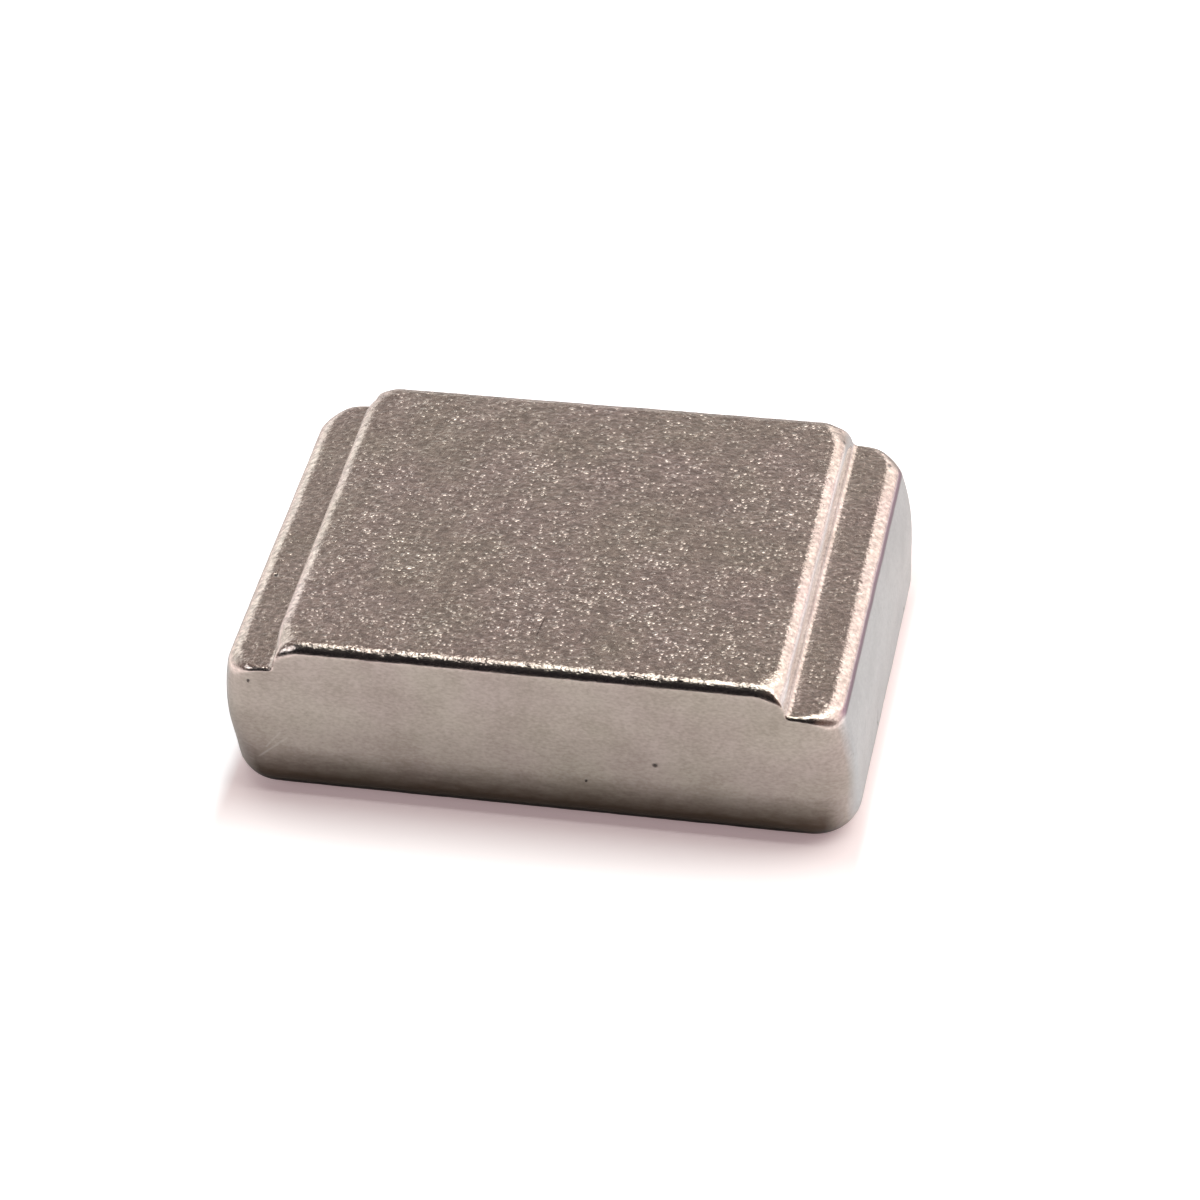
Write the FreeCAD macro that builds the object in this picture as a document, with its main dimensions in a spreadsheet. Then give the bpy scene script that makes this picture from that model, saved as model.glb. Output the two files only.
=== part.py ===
import FreeCAD, Part
import math
import os
from Sketcher import Constraint

# Stepped neodymium block magnet, in millimetres.
# The block stands on its flat pole face. Z is up, X runs along the length, and the origin is the
# middle of the lower face.
# The upper face is stepped down to a narrow ledge along each short end. What stays between the two
# steps is the land, which is as deep as the block.

SIZES = [
    ("length", 20.0, "over the two ends, at their fullest"),
    ("width", 13.0, "front to back"),
    ("height", 6.4, "lower face to the top of the land"),
    ("step_length", 2.0, "fullest part of an end in to the step"),
    ("step_depth", 1.0, "top of the land down to the ledges"),
    ("crown_height", 4.0, "top of the land down to where the ends turn upright"),
    ("crown_radius", 11.0, "gentle curve of the ends over the crown height"),
    ("corner_radius", 1.0, "the four upright corners"),
    ("bottom_radius", 1.0, "all round the lower face"),
    ("rim_radius", 0.42, "all round the outline of the stepped upper face"),
    ("land_radius", 0.48, "upper edge of each step"),
    ("foot_radius", 0.15, "inside corner of each step"),
]

START, END = range(1, 3)
X_AXIS, Y_AXIS = -1, -2
TOLERANCE = 1e-3


def make_sheet(doc):
    """Spreadsheet of the driving sizes, each cell with an alias."""
    sheet = doc.addObject("Spreadsheet::Sheet", "sizes")
    for row, (alias, value, meaning) in enumerate(SIZES, start=1):
        sheet.set("A%d" % row, alias)
        sheet.set("B%d" % row, "%g" % value)
        sheet.set("C%d" % row, meaning)
        sheet.setAlias("B%d" % row, alias)
    doc.recompute()
    return sheet


def make_sketch(body, name):
    """Empty sketch on the body's front plane, where the sketch's own Y is the block's Z."""
    sketch = body.newObject("Sketcher::SketchObject", name)
    plane = [feature for feature in body.Origin.OriginFeatures if feature.Role == "XZ_Plane"][0]
    sketch.AttachmentSupport = [(plane, "")]
    sketch.MapMode = "FlatFace"
    return sketch


def add_line(sketch, start, end):
    return sketch.addGeometry(Part.LineSegment(FreeCAD.Vector(*start, 0), FreeCAD.Vector(*end, 0)))


def bind(sketch, constraint, label, size):
    """Add a dimension to the sketch and bind it to the sheet."""
    index = sketch.addConstraint(constraint)
    sketch.renameConstraint(index, label)
    sketch.setExpression("Constraints." + label, size)


def join(sketch, outline):
    """Join the segments of a closed outline end to start."""
    for first, second in zip(outline, outline[1:] + outline[:1]):
        sketch.addConstraint(Constraint("Coincident", first, END, second, START))


def draw_ends(body, sheet):
    """Front view of the whole block: flat bottom and top, ends upright below and crowned above."""
    sketch = make_sketch(body, "end_profile")
    half = sheet.length / 2
    centre = half - sheet.crown_radius
    upright = sheet.height - sheet.crown_height
    lean = math.asin(sheet.crown_height / sheet.crown_radius)
    top_half = centre + sheet.crown_radius * math.cos(lean)

    def add_crown(side, first, last):
        circle = Part.Circle(FreeCAD.Vector(side * centre, upright, 0),
                             FreeCAD.Vector(0, 0, 1), sheet.crown_radius)
        return sketch.addGeometry(Part.ArcOfCircle(circle, first, last))

    bottom = add_line(sketch, (-half, 0), (half, 0))
    right_end = add_line(sketch, (half, 0), (half, upright))
    right_crown = add_crown(1, 0, lean)
    top = add_line(sketch, (top_half, sheet.height), (-top_half, sheet.height))
    left_crown = add_crown(-1, math.pi - lean, math.pi)
    left_end = add_line(sketch, (-half, upright), (-half, 0))

    for first, second in ((bottom, right_end), (right_crown, top), (top, left_crown), (left_end, bottom)):
        sketch.addConstraint(Constraint("Coincident", first, END, second, START))
    sketch.addConstraint(Constraint("Tangent", right_end, END, right_crown, START))
    sketch.addConstraint(Constraint("Tangent", left_crown, END, left_end, START))
    sketch.addConstraint(Constraint("Vertical", right_end))
    sketch.addConstraint(Constraint("Vertical", left_end))
    sketch.addConstraint(Constraint("Equal", right_crown, left_crown))
    sketch.addConstraint(Constraint("PointOnObject", bottom, START, X_AXIS))
    sketch.addConstraint(Constraint("Symmetric", bottom, START, bottom, END, Y_AXIS))
    sketch.addConstraint(Constraint("Symmetric", top, START, top, END, Y_AXIS))

    bind(sketch, Constraint("DistanceX", bottom, START, bottom, END, sheet.length),
         "length", "sizes.length")
    bind(sketch, Constraint("DistanceY", bottom, END, top, START, sheet.height),
         "height", "sizes.height")
    bind(sketch, Constraint("DistanceY", right_end, START, right_end, END, upright),
         "upright", "sizes.height - sizes.crown_height")
    bind(sketch, Constraint("Radius", right_crown, sheet.crown_radius),
         "crown_radius", "sizes.crown_radius")
    return sketch


def draw_steps(body, sheet):
    """The two rectangles that the steps take off the upper corners of the front view."""
    sketch = make_sketch(body, "step_profile")
    land = sheet.length / 2 - sheet.step_length
    ledge = sheet.height - sheet.step_depth
    outer = sheet.length / 2
    risers = []
    for side in (1, -1):
        corners = [(side * land, ledge), (side * outer, ledge),
                   (side * outer, sheet.height), (side * land, sheet.height)]
        outline = [add_line(sketch, start, end) for start, end in zip(corners, corners[1:] + corners[:1])]
        floor, outer_end, top, riser = outline
        join(sketch, outline)
        for level in (floor, top):
            sketch.addConstraint(Constraint("Horizontal", level))
        for upright in (outer_end, riser):
            sketch.addConstraint(Constraint("Vertical", upright))
        risers.append((riser, outer_end))
    (right, right_outer), (left, left_outer) = risers

    sketch.addConstraint(Constraint("Symmetric", left, START, right, START, Y_AXIS))
    sketch.addConstraint(Constraint("Symmetric", left_outer, START, right_outer, START, Y_AXIS))
    bind(sketch, Constraint("DistanceX", left, START, right, START, 2 * land),
         "land_length", "sizes.length - 2 * sizes.step_length")
    bind(sketch, Constraint("DistanceX", left_outer, END, right_outer, END, sheet.length),
         "length", "sizes.length")
    bind(sketch, Constraint("DistanceY", right, END, right, START, sheet.step_depth),
         "step_depth", "sizes.step_depth")
    bind(sketch, Constraint("DistanceY", X_AXIS, START, right, START, sheet.height),
         "height", "sizes.height")
    return sketch


def add_fillet(body, base, name, chosen, radius):
    """Round the edges of the base feature that pass the test, with a radius from the sheet."""
    names = ["Edge%d" % number for number, edge in enumerate(base.Shape.Edges, start=1) if chosen(edge)]
    if not names:
        raise RuntimeError(name + " found no edge")
    fillet = body.newObject("PartDesign::Fillet", name)
    fillet.Base = (base, names)
    fillet.setExpression("Radius", "sizes." + radius)
    body.Document.recompute()
    return fillet


def near(value, target):
    return abs(value - target) < TOLERANCE


def between(shape, inside):
    """Test for an edge that parts the faces picked by inside from the other faces."""
    picked = [edge for face in shape.Faces if inside(face) for edge in face.Edges]
    others = [edge for face in shape.Faces if not inside(face) for edge in face.Edges]

    def test(edge):
        return any(edge.isSame(one) for one in picked) and any(edge.isSame(one) for one in others)
    return test


def make_block(doc, sheet):
    """The whole magnet: one sintered and plated solid."""
    body = doc.addObject("PartDesign::Body", "magnet_block")
    body.Label = "magnet_block"
    side = sheet.width / 2
    land = sheet.length / 2 - sheet.step_length
    ledge = sheet.height - sheet.step_depth

    block = body.newObject("PartDesign::Pad", "block")
    block.Profile = draw_ends(body, sheet)
    block.SideType = "Symmetric"
    block.setExpression("Length", "sizes.width")
    doc.recompute()

    def upright_corner(edge):
        box = edge.BoundBox
        return near(abs(box.YMin), side) and near(box.YLength, 0) \
            and box.ZLength > TOLERANCE and box.XLength < box.ZLength

    corners = add_fillet(body, block, "corner_fillet", upright_corner, "corner_radius")

    steps = body.newObject("PartDesign::Pocket", "steps")
    steps.Profile = draw_steps(body, sheet)
    steps.SideType = "Symmetric"
    steps.Type = "ThroughAll"
    doc.recompute()
    if not steps.Shape.Volume < corners.Shape.Volume:
        raise RuntimeError("the steps cut nothing")

    def step_edge(level):
        def test(edge):
            box = edge.BoundBox
            return near(abs(box.XMin), land) and near(box.XLength, 0) \
                and near(box.ZMin, level) and near(box.ZLength, 0)
        return test

    feet = add_fillet(body, steps, "foot_fillet", step_edge(ledge), "foot_radius")
    lands = add_fillet(body, feet, "land_fillet", step_edge(sheet.height), "land_radius")
    upper_rim = between(lands.Shape, lambda face: face.CenterOfMass.z > ledge - TOLERANCE)
    rim = add_fillet(body, lands, "rim_fillet", upper_rim, "rim_radius")
    lower_rim = between(rim.Shape, lambda face: face.CenterOfMass.z < TOLERANCE)
    add_fillet(body, rim, "bottom_fillet", lower_rim, "bottom_radius")
    return body


def check_document(doc, bodies):
    """Stop if a feature failed or a solid is not sound, and print each solid's size."""
    for item in doc.Objects:
        if "Invalid" in item.State or "Error" in item.State:
            raise RuntimeError("%s failed: %s" % (item.Name, item.State))
    for body in bodies:
        shape = body.Shape
        if shape.isNull() or not shape.isValid() or len(shape.Solids) != 1:
            raise RuntimeError(body.Label + " is not one valid solid")
        box = shape.optimalBoundingBox()
        print("%s: %.2f x %.2f x %.2f mm, %.1f cubic mm"
              % (body.Label, box.XLength, box.YLength, box.ZLength, shape.Volume))


def main():
    doc = FreeCAD.newDocument("block_magnet")
    sheet = make_sheet(doc)
    bodies = [make_block(doc, sheet)]
    doc.recompute()
    check_document(doc, bodies)
    os.makedirs("parts", exist_ok=True)
    for body in bodies:
        body.Shape.exportStep("parts/%s.step" % body.Label)


main()
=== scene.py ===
import math

import bpy
import numpy as np
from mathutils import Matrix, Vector


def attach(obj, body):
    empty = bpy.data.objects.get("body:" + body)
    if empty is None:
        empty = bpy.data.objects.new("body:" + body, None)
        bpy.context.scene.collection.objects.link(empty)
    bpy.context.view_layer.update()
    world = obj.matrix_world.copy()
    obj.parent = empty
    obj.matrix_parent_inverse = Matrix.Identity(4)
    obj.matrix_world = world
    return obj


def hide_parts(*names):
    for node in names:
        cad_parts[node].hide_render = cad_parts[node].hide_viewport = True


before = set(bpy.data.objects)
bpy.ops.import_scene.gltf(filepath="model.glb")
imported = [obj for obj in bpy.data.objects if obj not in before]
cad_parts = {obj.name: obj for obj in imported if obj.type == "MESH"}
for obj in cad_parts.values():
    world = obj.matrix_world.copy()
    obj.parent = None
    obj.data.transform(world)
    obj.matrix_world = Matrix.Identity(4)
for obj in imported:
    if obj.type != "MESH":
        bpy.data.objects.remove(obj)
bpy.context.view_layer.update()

MM = 0.001

# The block's sizes in millimetres, as in the CAD model. X runs along the length, Z is up.
HALF_LENGTH = 10.0
HALF_WIDTH = 6.5
LAND_TOP = 6.4
LEDGE_TOP = 5.4
LAND_HALF = 8.0
CROWN_START = 2.4
CROWN_RADIUS = 11.0
CORNER = 1.0
BOTTOM = 1.0
RIM = 0.42
LAND_EDGE = 0.48
FOOT = 0.15

# Wear that tumbling leaves on the edges, as a change of their radius in millimetres.
CORNER_GROWTH = 0.5
STEP_END_WEAR = 0.55
RIM_PINCH = 0.27
RIM_GROWTH = 0.2

# Dents in the faces: size across, depth and seed of the random field.
DENTS = [(1.6, 0.012, 3), (0.45, 0.006, 4)]

CAMERA_PLACE = (0.0249167, -0.0874203, 0.084113)
CAMERA_TURN = (48.25724, 3.92648, 11.90776)
CAMERA_LENS = 114.607


# Shape of the block

def meet(a, b, radius):
    """Distance field of the space inside both fields, with its edge rounded."""
    inner = np.minimum(np.maximum(a, b), -radius)
    return inner + np.hypot(np.maximum(a + radius, 0), np.maximum(b + radius, 0))


def join(a, b, radius):
    """Distance field of the space inside either field, with its inside corner filled."""
    outer = np.maximum(np.minimum(a, b), radius)
    return outer - np.hypot(np.maximum(radius - a, 0), np.maximum(radius - b, 0))


def smooth_step(low, high, value):
    t = np.clip((value - low) / (high - low), 0, 1)
    return t * t * (3 - 2 * t)


def block_field(p):
    """Distance from the block's surface, negative inside.

    The upright corners get rounder towards the lower face and the land's edges towards the front
    and back. The rim is narrow at the foot of each step and wide at the ledges' outer corners.
    """
    x, y, z = np.abs(p[:, 0]), np.abs(p[:, 1]), p[:, 2]
    rise = np.maximum(z - CROWN_START, 0)
    end = np.hypot(x - HALF_LENGTH + CROWN_RADIUS, rise) - CROWN_RADIUS
    side = y - HALF_WIDTH
    corner = CORNER + CORNER_GROWTH * smooth_step(3.5, 0.5, z)
    outline = meet(end, side, corner)
    riser = x - LAND_HALF
    worn = LAND_EDGE + STEP_END_WEAR * smooth_step(-1.3, -0.1, side)
    land = meet(riser, z - LAND_TOP, worn)
    upper = join(z - LEDGE_TOP, land, FOOT)
    rim = RIM - RIM_PINCH * smooth_step(-0.6, 0.0, riser) * smooth_step(1.4, 0.2, riser)
    rim = rim + RIM_GROWTH * smooth_step(0.8, 1.6, riser) * smooth_step(-1.3, -0.4, side)
    return meet(meet(outline, upper, rim), -z, BOTTOM)


def field_normal(field, p, step=1e-4):
    grad = np.empty_like(p)
    for axis in range(3):
        shift = np.zeros(3)
        shift[axis] = step
        grad[:, axis] = (field(p + shift) - field(p - shift)) / (2 * step)
    return grad


def settle(field, p, rounds=8):
    """Move points along the field's slope onto its surface."""
    for _ in range(rounds):
        grad = field_normal(field, p)
        size = np.maximum((grad * grad).sum(1), 0.05)
        p = p - (field(p) / size)[:, None] * grad
    return p


def spread(stops):
    """Line positions from (position, spacing after it) stops, the last one closing the row."""
    row = []
    for (start, step), (end, _) in zip(stops, stops[1:]):
        count = max(1, round((end - start) / step))
        row += [start + (end - start) * i / count for i in range(count)]
    return row + [stops[-1][0]]


def both_sides(half_row):
    return [-v for v in reversed(half_row[1:])] + half_row


def block_mesh():
    """Grid over the stepped block with sharp edges, before it is settled onto the rounded form."""
    xs = both_sides(spread([(0, 0.16), (6.9, 0.055), (8.5, 0.1), (9.1, 0.055), (HALF_LENGTH, 0)]))
    ys = both_sides(spread([(0, 0.16), (5.5, 0.055), (HALF_WIDTH, 0)]))
    zs = spread([(0, 0.11), (1.1, 0.16), (4.7, 0.055), (LEDGE_TOP, 0.055), (LAND_TOP, 0)])
    ledge = next(i for i, z in enumerate(zs) if abs(z - LEDGE_TOP) < 1e-9)
    left = min(range(len(xs)), key=lambda i: abs(xs[i] + LAND_HALF))
    right = min(range(len(xs)), key=lambda i: abs(xs[i] - LAND_HALF))
    xs[left], xs[right] = -LAND_HALF, LAND_HALF
    last_x, last_y, last_z = len(xs) - 1, len(ys) - 1, len(zs) - 1

    points, index, faces = [], {}, []

    def vertex(i, j, k):
        key = (i, j, k)
        if key not in index:
            index[key] = len(points)
            points.append((xs[i], ys[j], zs[k]))
        return index[key]

    def patch(corner, rows, columns):
        for a in range(rows):
            for b in range(columns):
                faces.append((vertex(*corner(a, b)), vertex(*corner(a + 1, b)),
                              vertex(*corner(a + 1, b + 1)), vertex(*corner(a, b + 1))))

    patch(lambda a, b: (a, last_y - b, 0), last_x, last_y)
    patch(lambda a, b: (left + a, b, last_z), right - left, last_y)
    patch(lambda a, b: (a, b, ledge), left, last_y)
    patch(lambda a, b: (right + a, b, ledge), last_x - right, last_y)
    patch(lambda a, b: (a, 0, b), last_x, ledge)
    patch(lambda a, b: (last_x - a, last_y, b), last_x, ledge)
    patch(lambda a, b: (left + a, 0, ledge + b), right - left, last_z - ledge)
    patch(lambda a, b: (right - a, last_y, ledge + b), right - left, last_z - ledge)
    patch(lambda a, b: (last_x, a, b), last_y, ledge)
    patch(lambda a, b: (0, last_y - a, b), last_y, ledge)
    patch(lambda a, b: (right, a, ledge + b), last_y, last_z - ledge)
    patch(lambda a, b: (left, last_y - a, ledge + b), last_y, last_z - ledge)
    return np.array(points), faces


def ripple(p, size, seed, waves=28):
    """Smooth random field between about -1 and 1, with features of the given size."""
    rng = np.random.default_rng(seed)
    direction = rng.normal(size=(waves, 3))
    direction /= np.linalg.norm(direction, axis=1)[:, None]
    pitch = 2 * math.pi / (size * rng.uniform(0.8, 1.6, waves))
    phase = rng.uniform(0, 2 * math.pi, waves)
    return np.sin(p @ (direction * pitch[:, None]).T + phase).sum(1) / math.sqrt(waves / 2) / 2


def make_block():
    points, faces = block_mesh()
    points = settle(block_field, points)
    normal = field_normal(block_field, points)
    normal /= np.linalg.norm(normal, axis=1)[:, None]
    dent = sum(depth * (1 + np.clip(ripple(points, size, seed), -1, 1)) / 2
               for size, depth, seed in DENTS)
    points = points - normal * dent[:, None]
    points[:, 2] = np.maximum(points[:, 2], 0)
    mesh = bpy.data.meshes.new("plated_block")
    mesh.from_pydata([tuple(q) for q in points * MM], [], faces)
    mesh.shade_smooth()
    mesh.update()
    block = bpy.data.objects.new("plated_block", mesh)
    bpy.context.collection.objects.link(block)
    return block


# Materials

class Nodes:
    """Short way to build a node tree."""

    def __init__(self, tree):
        self.tree = tree

    def add(self, kind, settings=None, **inputs):
        node = self.tree.nodes.new(kind)
        for name, value in (settings or {}).items():
            setattr(node, name, value)
        for name, value in inputs.items():
            self.put(node, name.replace("_", " "), value)
        return node

    def put(self, node, name, value):
        socket = node.inputs[int(name[1:])] if name[0] == "#" else node.inputs[name]
        if isinstance(value, bpy.types.NodeSocket):
            self.tree.links.new(value, socket)
        else:
            socket.default_value = value

    def times(self, a, b):
        return self.math("MULTIPLY", a, b)

    def math(self, operation, a, b=None, c=None, clamp=False):
        node = self.add("ShaderNodeMath", {"operation": operation, "use_clamp": clamp})
        for i, value in enumerate((a, b, c)):
            if value is not None:
                self.put(node, "#%d" % i, value)
        return node.outputs[0]

    def blend(self, factor, first, second):
        node = self.add("ShaderNodeMix", {"data_type": "RGBA"})
        for i, value in ((0, factor), (6, first), (7, second)):
            self.put(node, "#%d" % i, value)
        return node.outputs[2]

    def product(self, first, second):
        node = self.add("ShaderNodeMix", {"data_type": "RGBA", "blend_type": "MULTIPLY"})
        for i, value in ((0, 1.0), (6, first), (7, second)):
            self.put(node, "#%d" % i, value)
        return node.outputs[2]

    def noise(self, where, scale, detail, stretch=None):
        """Noise value, with the coordinates multiplied by the stretch first."""
        if stretch:
            where = self.vector("MULTIPLY", where, stretch).outputs[0]
        return self.add("ShaderNodeTexNoise", Vector=where, Scale=scale, Detail=detail).outputs[0]

    def beads(self, where, scale, rarity):
        """Height of small domes of uneven size; the higher the rarity, the fewer stand out."""
        cell = self.add("ShaderNodeTexVoronoi", {"feature": "F1"}, Vector=where, Scale=scale)
        chance = self.add("ShaderNodeSeparateColor", Color=cell.outputs["Color"]).outputs[0]
        out = self.remap(cell.outputs["Distance"], 0.0, 0.45, 0.0, 1.0)
        dome = self.math("SUBTRACT", 1.0, self.times(out, out))
        return self.times(self.times(dome, dome), self.remap(chance, rarity, 1.0, 0.0, 1.0))

    def vector(self, operation, a, b=None):
        node = self.add("ShaderNodeVectorMath", {"operation": operation})
        for i, value in enumerate((a, b)):
            if value is not None:
                self.put(node, "#%d" % i, value)
        return node

    def spot(self, where, centre, radius):
        """One at a point on the block, given in millimetres, fading to nothing at the radius."""
        away = self.vector("DISTANCE", where, tuple(v * MM for v in centre)).outputs["Value"]
        return self.remap(away, 0.4 * radius * MM, radius * MM, 1.0, 0.0)

    def stroke(self, where, start, end, radius):
        """One on the straight line between two points, fading to nothing at the radius."""
        start, end = np.array(start) * MM, np.array(end) * MM
        along = end - start
        length = float(np.linalg.norm(along))
        offset = self.vector("SUBTRACT", where, tuple(start)).outputs[0]
        part = self.vector("DOT_PRODUCT", offset, tuple(along / length ** 2)).outputs["Value"]
        part = self.math("MULTIPLY", part, 1.0, clamp=True)
        nearest = self.add("ShaderNodeVectorMath", {"operation": "SCALE"})
        nearest.inputs[0].default_value = tuple(along)
        self.put(nearest, "Scale", part)
        away = self.vector("DISTANCE", offset, nearest.outputs[0]).outputs["Value"]
        return self.remap(away, 0.3 * radius * MM, radius * MM, 1.0, 0.0)

    def band(self, value, middle, half):
        """One at the middle value, fading to nothing at half on either side."""
        off = self.math("ABSOLUTE", self.math("SUBTRACT", value, middle))
        return self.remap(off, 0.4 * half, half, 1.0, 0.0)

    def strongest(self, values):
        total = values[0]
        for value in values[1:]:
            total = self.math("MAXIMUM", total, value)
        return total

    def remap(self, value, low, high, to_low, to_high):
        node = self.add("ShaderNodeMapRange", {"clamp": True})
        for i, v in enumerate((value, low, high, to_low, to_high)):
            self.put(node, "#%d" % i, v)
        return node.outputs[0]


# Places on the plating in millimetres, each with its radius

PITS = [
    ((-9.04, -2.20, 5.4), 0.10), ((8.0, 3.72, 5.97), 0.07), ((-8.82, -6.5, 4.84), 0.08),
    ((3.87, -6.5, 2.88), 0.11), ((1.65, -6.5, 1.94), 0.06), ((9.82, -6.3, 1.81), 0.07),
    ((9.92, 3.17, 4.85), 0.08), ((10.0, 3.49, 1.12), 0.09), ((10.0, -1.98, 1.21), 0.10),
    ((7.9, 5.6, 6.2), 0.12), ((9.3, 5.61, 5.4), 0.12),
]
DARK_LINES = [
    ((0.10, -4.9, 6.4), (0.16, -4.2, 6.4), 0.04), ((10.0, -1.98, 1.21), (10.0, -1.85, 1.6), 0.06),
]
BRIGHT_LINES = [
    ((-4.70, -2.25, 6.4), (-4.62, -1.95, 6.4), 0.05), ((-4.62, -1.95, 6.4), (-4.42, -1.80, 6.4), 0.05),
    ((-8.93, -6.5, 1.56), (-7.86, -6.5, 2.53), 0.05), ((-8.60, -6.5, 2.05), (-8.05, -6.5, 2.75), 0.04),
]


def empty_material(name):
    """New material, the builder of its node tree and its output node."""
    material = bpy.data.materials.new(name)
    material.use_nodes = True
    material.node_tree.nodes.clear()
    n = Nodes(material.node_tree)
    return material, n, n.add("ShaderNodeOutputMaterial")


class Surface:
    """Builder of the plating's node tree, with the places and directions that its parts share."""

    def __init__(self, n):
        self.n = n
        self.where = n.add("ShaderNodeTexCoord").outputs["Object"]
        self.place = n.add("ShaderNodeSeparateXYZ", Vector=self.where).outputs
        normal = n.add("ShaderNodeNewGeometry").outputs["Normal"]
        self.facing = n.add("ShaderNodeSeparateXYZ", Vector=normal).outputs
        self.upward = n.remap(self.facing["Z"], 0.35, 0.8, 0.0, 1.0)
        self.endward = n.remap(n.math("ABSOLUTE", self.facing["X"]), 0.75, 0.97, 0.0, 1.0)
        blotch = n.times(n.noise(self.where, 700.0, 4.0), 0.4)
        mottle = n.times(n.noise(self.where, 13000.0, 6.0, (0.6, 0.6, 1)), 0.6)
        self.patchy = n.remap(n.math("ADD", blotch, mottle), 0.38, 0.62, 0.0, 1.0)
        self.pits = n.strongest([n.spot(self.where, *pit) for pit in PITS])

    def bare_tone(self):
        """Mottled nickel, gritty on top, with the ends painted paler and cooler as a painted
        reflection.
        """
        n = self.n
        tone = n.blend(self.patchy, (0.575, 0.52, 0.475, 1), (0.755, 0.70, 0.655, 1))
        warmth = n.remap(n.noise(self.where, 420.0, 3.0), 0.35, 0.65, 0.0, 1.0)
        tone = n.product(tone, n.blend(warmth, (1.0, 0.975, 0.985, 1), (0.985, 1.0, 0.965, 1)))
        grit = n.remap(n.noise(self.where, 6500.0, 3.0, (0.7, 1.1, 1)), 0.36, 0.64, 0.0, 1.0)
        gritty = n.blend(grit, (0.71, 0.70, 0.695, 1), (1.12, 1.10, 1.085, 1))
        tone = n.product(tone, n.blend(self.upward, (1.0, 1.0, 1.0, 1), gritty))
        # Painted reflection: the end faces are painted paler and cooler than the rest.
        painted_end_reflection = n.blend(self.patchy, (0.68, 0.755, 0.80, 1), (0.81, 0.89, 0.94, 1))
        return n.blend(n.times(self.endward, 0.8), tone, painted_end_reflection)

    def ragged_level(self, ragged, swing):
        """Height above the floor, raised and lowered by a ragged noise over the given swing."""
        n = self.n
        return n.math("MULTIPLY_ADD", ragged, swing, n.math("SUBTRACT", self.place["Z"], swing / 2))

    def add_low_painted_shade(self, tone):
        """Painted shade low on the long sides, darker towards the lower edge as the floor's shadow seen
        mirrored there, and a painted dark line above the lower edge.
        """
        n = self.n
        sideways = n.remap(n.math("ABSOLUTE", self.facing["X"]), 0.3, 0.8, 1.0, 0.0)
        ragged = n.noise(self.where, 5000.0, 5.0, (0.35, 0.35, 1))
        # Painted shade: the long sides darken towards the bottom, then a darkest band just above the
        # lower edge.
        lower_painted_shade = n.remap(self.ragged_level(ragged, 0.0010), 0.0010, 0.0040, 0.46, 0.0)
        tone = n.blend(n.times(lower_painted_shade, sideways), tone, (0.22, 0.175, 0.15, 1))
        foot = n.remap(self.ragged_level(ragged, 0.0004), 0.0009, 0.0022, 0.93, 0.0)
        tone = n.blend(n.times(foot, sideways), tone, (0.08, 0.052, 0.035, 1))
        # Painted shade: a thin dark line along the lower edge.
        shade_line = n.band(self.place["Z"], 0.00045, 0.00005)
        return n.blend(n.times(shade_line, 0.5), tone, (0.06, 0.045, 0.04, 1))

    def add_edges(self, tone):
        """Painted dark reflection along the back rim, a painted purple reflection under the right
        ledge's rim, and lines drawn along the steps.
        """
        n = self.n
        # Painted reflection: the back rim is darkened as if mirroring a dark floor behind the block.
        painted_back_reflection = n.times(n.band(self.facing["Y"], 0.48, 0.32), self.upward)
        tone = n.blend(n.times(painted_back_reflection, 0.65), tone, (0.12, 0.09, 0.08, 1))
        # Painted reflection: a purple line under the right ledge's rim.
        painted_rim_reflection = n.times(n.band(self.place["Z"], 0.00505, 0.00014),
                           n.remap(self.place["X"], 0.0094, 0.0095, 0.0, 0.8))
        inside = n.remap(n.math("ABSOLUTE", self.place["Y"]), 0.0056, 0.0060, 1.0, 0.0)
        tone = n.blend(n.times(painted_rim_reflection, inside), tone, (0.20, 0.11, 0.17, 1))
        drawn = n.remap(n.noise(self.where, 16000.0, 2.0, (1, 0.03, 1)), 0.42, 0.62, 0.0, 0.5)
        within = n.remap(n.math("ABSOLUTE", self.place["X"]), 0.0082, 0.0083, 1.0, 0.0)
        on_riser = n.times(within, self.endward)
        return n.blend(n.times(drawn, on_riser), tone, (0.50, 0.40, 0.39, 1))

    def add_marks(self, tone):
        """Specks, pits, dark lines and rubbed lines."""
        n = self.n
        speck = n.add("ShaderNodeTexVoronoi", {"feature": "F1"}, Vector=self.where, Scale=2600.0)
        chance = n.add("ShaderNodeSeparateColor", Color=speck.outputs["Color"]).outputs[1]
        specks = n.times(n.remap(speck.outputs["Distance"], 0.03, 0.09, 1.0, 0.0),
                         n.remap(chance, 0.7, 0.9, 0.0, 0.45))
        tone = n.blend(specks, tone, (0.20, 0.17, 0.15, 1))
        tone = n.blend(n.times(self.pits, 0.85), tone, (0.05, 0.04, 0.04, 1))
        dark = n.strongest([n.stroke(self.where, *line) for line in DARK_LINES])
        tone = n.blend(n.times(dark, 0.7), tone, (0.08, 0.06, 0.06, 1))
        rubbed = n.strongest([n.stroke(self.where, *line) for line in BRIGHT_LINES])
        return n.blend(n.times(rubbed, 0.22), tone, (0.92, 0.90, 0.88, 1))

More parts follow.
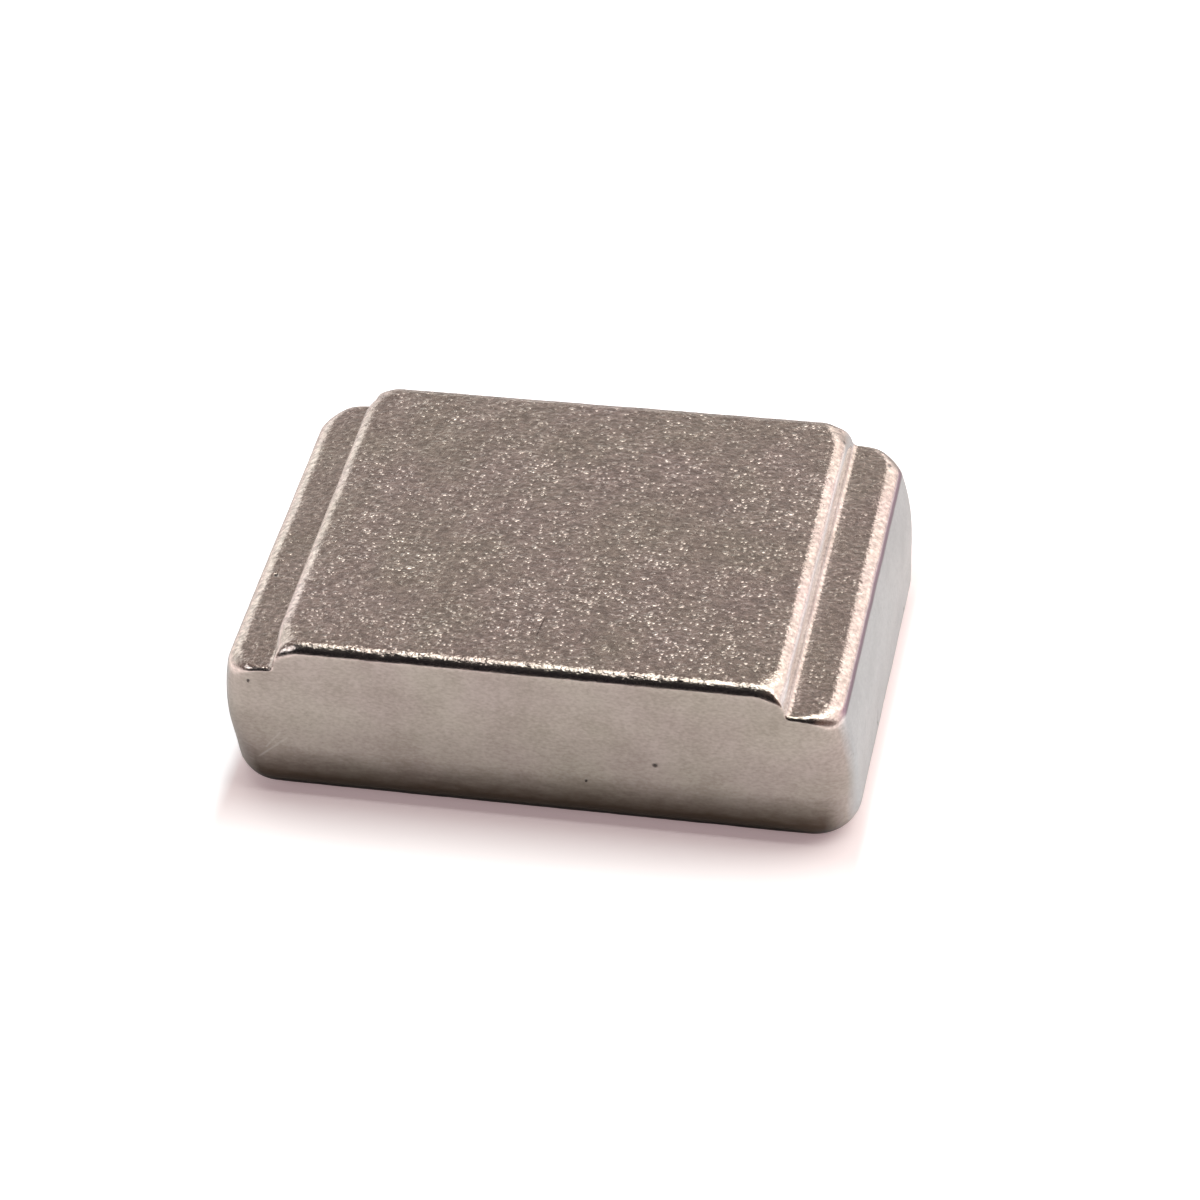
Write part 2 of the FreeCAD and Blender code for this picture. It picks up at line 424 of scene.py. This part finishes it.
    def height(self):
        """Domes and creases on the upward faces, a faint grain everywhere, and the pits."""
        n = self.n
        across = n.vector("MULTIPLY", self.where, (0.75, 1.15, 1)).outputs[0]
        fine = n.times(n.beads(across, 8200.0, 0.05), 0.75)
        domes = n.math("MULTIPLY_ADD", n.beads(across, 4700.0, 0.35), 0.8, fine)
        uneven = n.noise(self.where, 330.0, 2.0)
        domes = n.times(domes, n.remap(uneven, 0.35, 0.65, 0.8, 1.35))
        domes = n.times(domes, n.remap(self.place["Z"], 0.0055, 0.0056, 0.6, 1.0))
        crepe = n.noise(self.where, 9000.0, 2.0)
        flat_top = n.remap(self.facing["Z"], 0.6, 0.9, 0.0, 1.0)
        top = n.times(n.math("MULTIPLY_ADD", crepe, 0.75, domes), flat_top)
        height = n.math("ADD", top, n.times(n.noise(self.where, 16000.0, 2.0), 0.16))
        height = n.math("ADD", height, n.times(crepe, 0.06))
        return n.math("SUBTRACT", height, self.pits)

    def sheen(self):
        """Roughness, a little higher on the upward faces and in the darker patches."""
        n = self.n
        return n.math("MULTIPLY_ADD", self.upward, 0.04, n.remap(self.patchy, 0.0, 1.0, 0.24, 0.17))


def nickel():
    """Nickel plating, worn and grained as the photograph shows it."""
    material, n, output = empty_material("nickel_plating")
    surface = Surface(n)
    tone = surface.add_low_painted_shade(surface.bare_tone())
    tone = surface.add_marks(surface.add_edges(tone))
    bump = n.add("ShaderNodeBump", Height=surface.height(), Distance=0.000022, Strength=1.0)
    shader = n.add("ShaderNodeBsdfPrincipled", Metallic=1.0, Base_Color=tone,
                   Roughness=surface.sheen(), Normal=bump.outputs[0])
    n.put(output, "Surface", shader.outputs[0])
    return material


def floor_material():
    """White floor that keeps the block's shadow.

    It gives off a little light to the camera, less at the block's foot, so that it shows white
    where the lamps alone fall just short, and to mirror rays far off.
    """
    material, n, output = empty_material("pale_floor")
    path = n.add("ShaderNodeLightPath").outputs
    white = n.math("MULTIPLY_ADD", path["Is Camera Ray"], 0.26, 0.66)
    white = n.math("MULTIPLY_ADD", path["Is Glossy Ray"], 0.08, white)
    cool = n.times(white, 0.985)
    colour = n.add("ShaderNodeCombineColor", Red=white, Green=cool, Blue=cool)
    paint = n.add("ShaderNodeBsdfDiffuse", Color=colour.outputs[0])

    aside = n.vector("ABSOLUTE", n.add("ShaderNodeTexCoord").outputs["Object"]).outputs[0]
    aside = n.vector("SUBTRACT", aside, (HALF_LENGTH * MM, HALF_WIDTH * MM, 0)).outputs[0]
    aside = n.vector("MULTIPLY", n.vector("MAXIMUM", aside, (0, 0, 0)).outputs[0], (6, 1, 1)).outputs[0]
    away = n.vector("LENGTH", aside).outputs["Value"]
    clear = n.remap(away, 0.0002, 0.0030, 0.0, 1.0)
    # Near the block's foot the glow is dimmer and pink: a painted shadow tint around the foot.
    seen = n.blend(clear, (0.28, 0.205, 0.21, 1), (0.59, 0.595, 0.605, 1))
    sideways = n.add("ShaderNodeSeparateXYZ", Vector=aside).outputs["X"]
    # Beside the ends the glow is brighter: painted light over the side shadows.
    beside = n.remap(sideways, 0.002, 0.012, 0.0, 1.0)
    seen = n.blend(beside, seen, (0.70, 0.70, 0.71, 1))
    # Mirror rays far off see a pink glow: a painted reflection of a lit floor.
    far_off = n.times(n.remap(away, 0.03, 0.16, 0.0, 1.0), path["Is Glossy Ray"])
    far_painted_reflection = n.blend(far_off, (0.0, 0.0, 0.0, 1), (0.70, 0.60, 0.61, 1))
    glow = n.add("ShaderNodeEmission", Color=n.blend(path["Is Camera Ray"], far_painted_reflection, seen))

    both = n.add("ShaderNodeAddShader")
    n.put(both, "#0", paint.outputs[0])
    n.put(both, "#1", glow.outputs[0])
    n.put(output, "Surface", both.outputs[0])
    return material


# Surroundings

def make_floor():
    bpy.ops.mesh.primitive_plane_add(size=6.0, location=(0, 0, 0))
    floor = bpy.context.object
    floor.name = "floor"
    floor.data.materials.append(floor_material())


def soft_box(name, place, target, size, radiance, colour):
    """Area light at a place in metres, facing the target."""
    lamp = bpy.data.lights.new(name, "AREA")
    lamp.shape = "RECTANGLE"
    lamp.size, lamp.size_y = size
    lamp.energy = radiance * math.pi * size[0] * size[1]
    lamp.color = colour
    light = bpy.data.objects.new(name, lamp)
    bpy.context.collection.objects.link(light)
    light.location = place
    light.rotation_euler = (Vector(place) - Vector(target)).to_track_quat("Z", "Y").to_euler()
    light.visible_camera = False


def make_lamps():
    middle = (0, 0, 0)
    soft_box("overhead", (0.30, 0.05, 0.5), (0.30, 0.05, 0.0), (0.9, 0.26), 3.3, (1.0, 0.97, 0.92))
    soft_box("right", (0.348, 0.272, 0.235), middle, (0.84, 0.42), 1.5, (1.0, 0.89, 0.87))
    soft_box("left", (-0.350, 0.294, 0.203), middle, (0.3, 0.3), 0.7, (1.0, 0.98, 0.97))
    soft_box("front_left", (-0.374, -0.199, 0.265), middle, (0.16, 0.20), 2.2, (1.0, 0.95, 0.97))


def make_world():
    """Dim warm room, bright near the horizon behind the block and dark high up in front of it."""
    world = bpy.data.worlds.new("studio")
    bpy.context.scene.world = world
    world.use_nodes = True
    world.node_tree.nodes.clear()
    n = Nodes(world.node_tree)
    toward = n.add("ShaderNodeTexCoord").outputs["Generated"]
    split = n.add("ShaderNodeSeparateXYZ", Vector=toward).outputs
    back = n.remap(split["Y"], -0.1, 0.3, 0.0, 1.0)
    left = n.remap(split["X"], 0.15, 0.45, 1.0, 0.0)
    low = n.math("POWER", n.remap(split["Z"], 0.15, 0.95, 1.0, 0.0), 1.5)
    back_left = n.times(n.times(back, low), left)
    horizon = n.remap(split["Z"], 0.05, 0.2, 1.0, 0.0)
    back_right = n.times(n.times(back, horizon), n.math("SUBTRACT", 1.0, left))
    front = n.vector("DOT_PRODUCT", toward, (-0.207, -0.771, 0.602)).outputs["Value"]
    around = n.remap(front, 0.5, 0.74, 1.0, 0.0)
    colour = n.blend(around, (0.012, 0.010, 0.012, 1), (0.160, 0.100, 0.088, 1))
    colour = n.blend(back_right, colour, (0.70, 0.55, 0.58, 1))
    colour = n.blend(back_left, colour, (0.9, 0.87, 0.85, 1))
    background = n.add("ShaderNodeBackground", Color=colour)
    n.put(n.add("ShaderNodeOutputWorld"), "Surface", background.outputs[0])


def make_camera():
    data = bpy.data.cameras.new("camera")
    data.lens = CAMERA_LENS
    data.sensor_width = 36.0
    data.clip_start = 0.005
    camera = bpy.data.objects.new("camera", data)
    bpy.context.collection.objects.link(camera)
    camera.location = CAMERA_PLACE
    camera.rotation_euler = [math.radians(v) for v in CAMERA_TURN]
    bpy.context.scene.camera = camera


block = make_block()
block.data.materials.append(nickel())
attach(block, "root")
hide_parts("magnet_block")
make_floor()
make_world()
make_lamps()
make_camera()
bpy.context.scene.view_settings.view_transform = "Standard"
